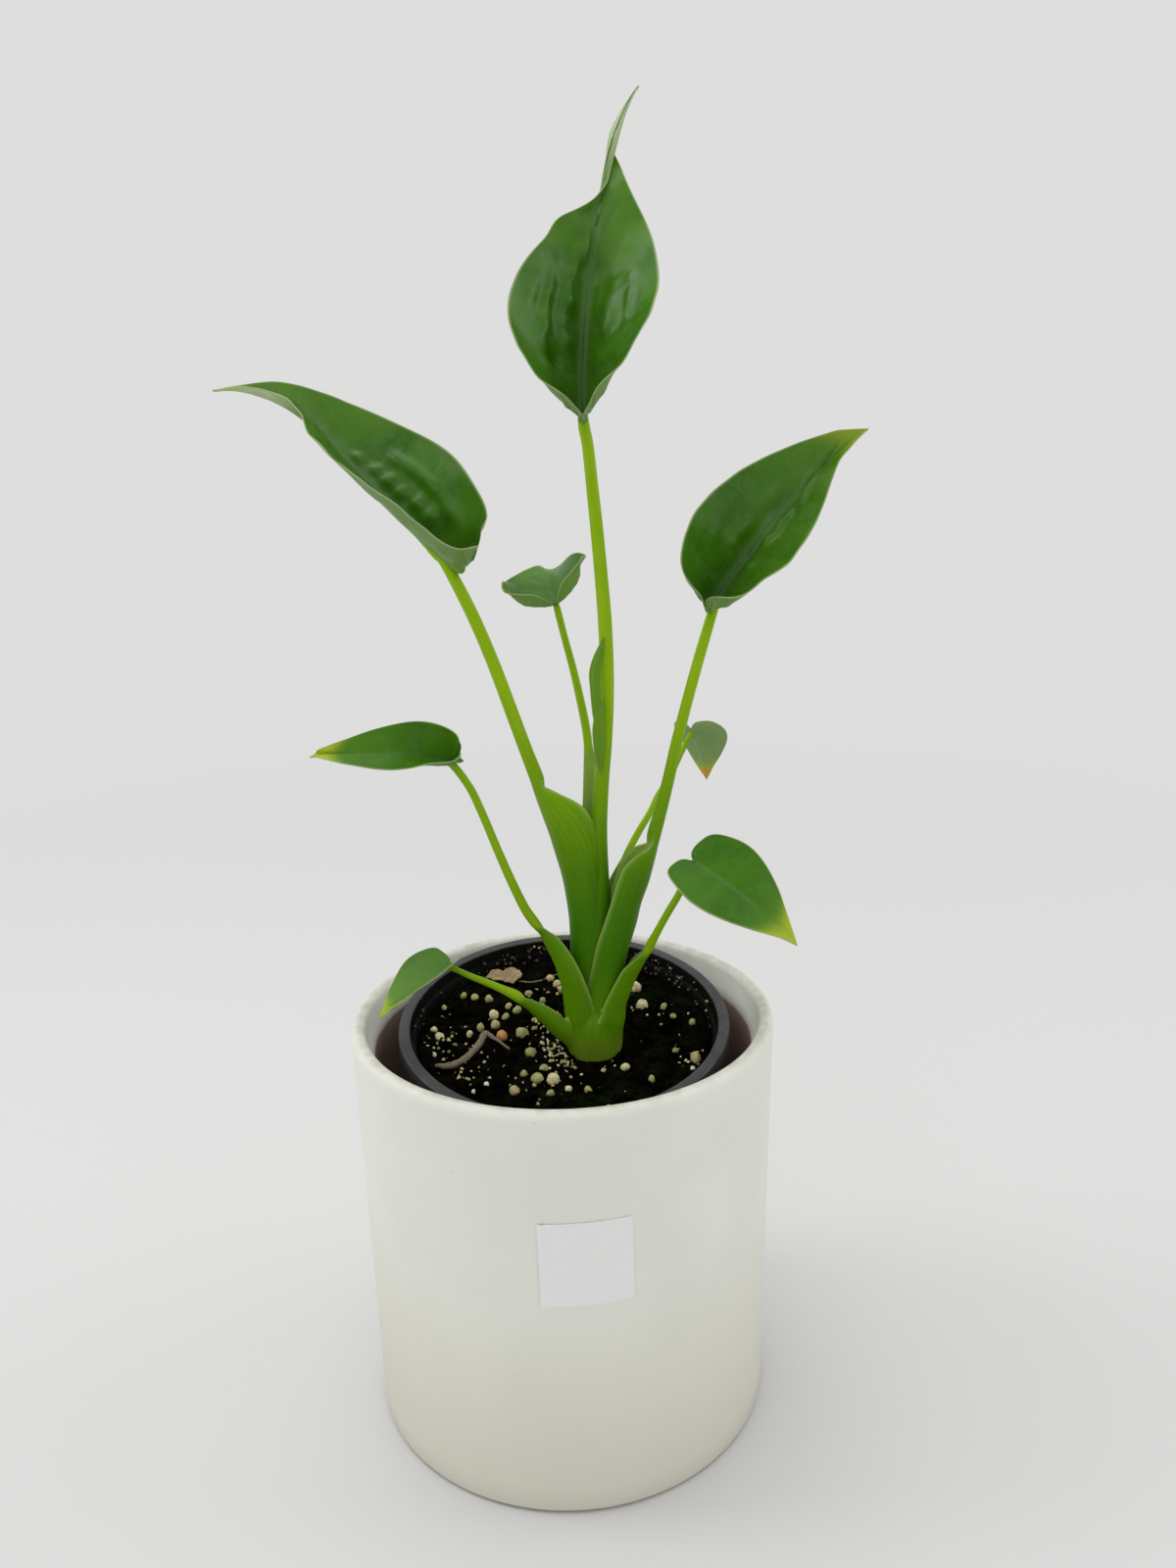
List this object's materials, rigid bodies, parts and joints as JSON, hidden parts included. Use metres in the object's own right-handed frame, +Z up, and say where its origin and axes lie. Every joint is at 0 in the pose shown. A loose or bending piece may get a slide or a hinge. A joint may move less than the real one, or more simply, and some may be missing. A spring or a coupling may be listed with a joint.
{
  "type": "potted plant",
  "caption": "Young potted alocasia with cupped leaves on tall sheathed stalks, in a dark nursery pot inside a white glazed cover pot.",
  "frame": {"origin": "centre of the cover pot's flat underside", "axes": "+Z up along the cover pot's axis; -Y is the side with the paper label; +X is to the right seen from that side"},
  "size_m": [0.1838, 0.127, 0.3882],
  "materials": {
    "glaze": "satin",
    "pot_plastic": "satin",
    "peat": "matte",
    "stalk": "satin",
    "leaf": "gloss",
    "young_leaf": "satin",
    "paper": "matte",
    "twig": "matte",
    "dry_leaf": "matte"
  },
  "bodies": {
    "root": {"cover_pot": "glaze", "nursery_pot": "pot_plastic", "soil": "peat", "stems": "stalk", "blade_a": "leaf", "blade_b": "leaf", "blade_c": "leaf", "blade_d": "leaf", "blade_e": "leaf", "blade_f": "leaf", "blade_g": "leaf", "blade_h": "leaf", "new_leaf": "young_leaf", "label": "paper", "dry_twig": "twig", "dry_leaf": "dry_leaf"}
  },
  "joints": []
}
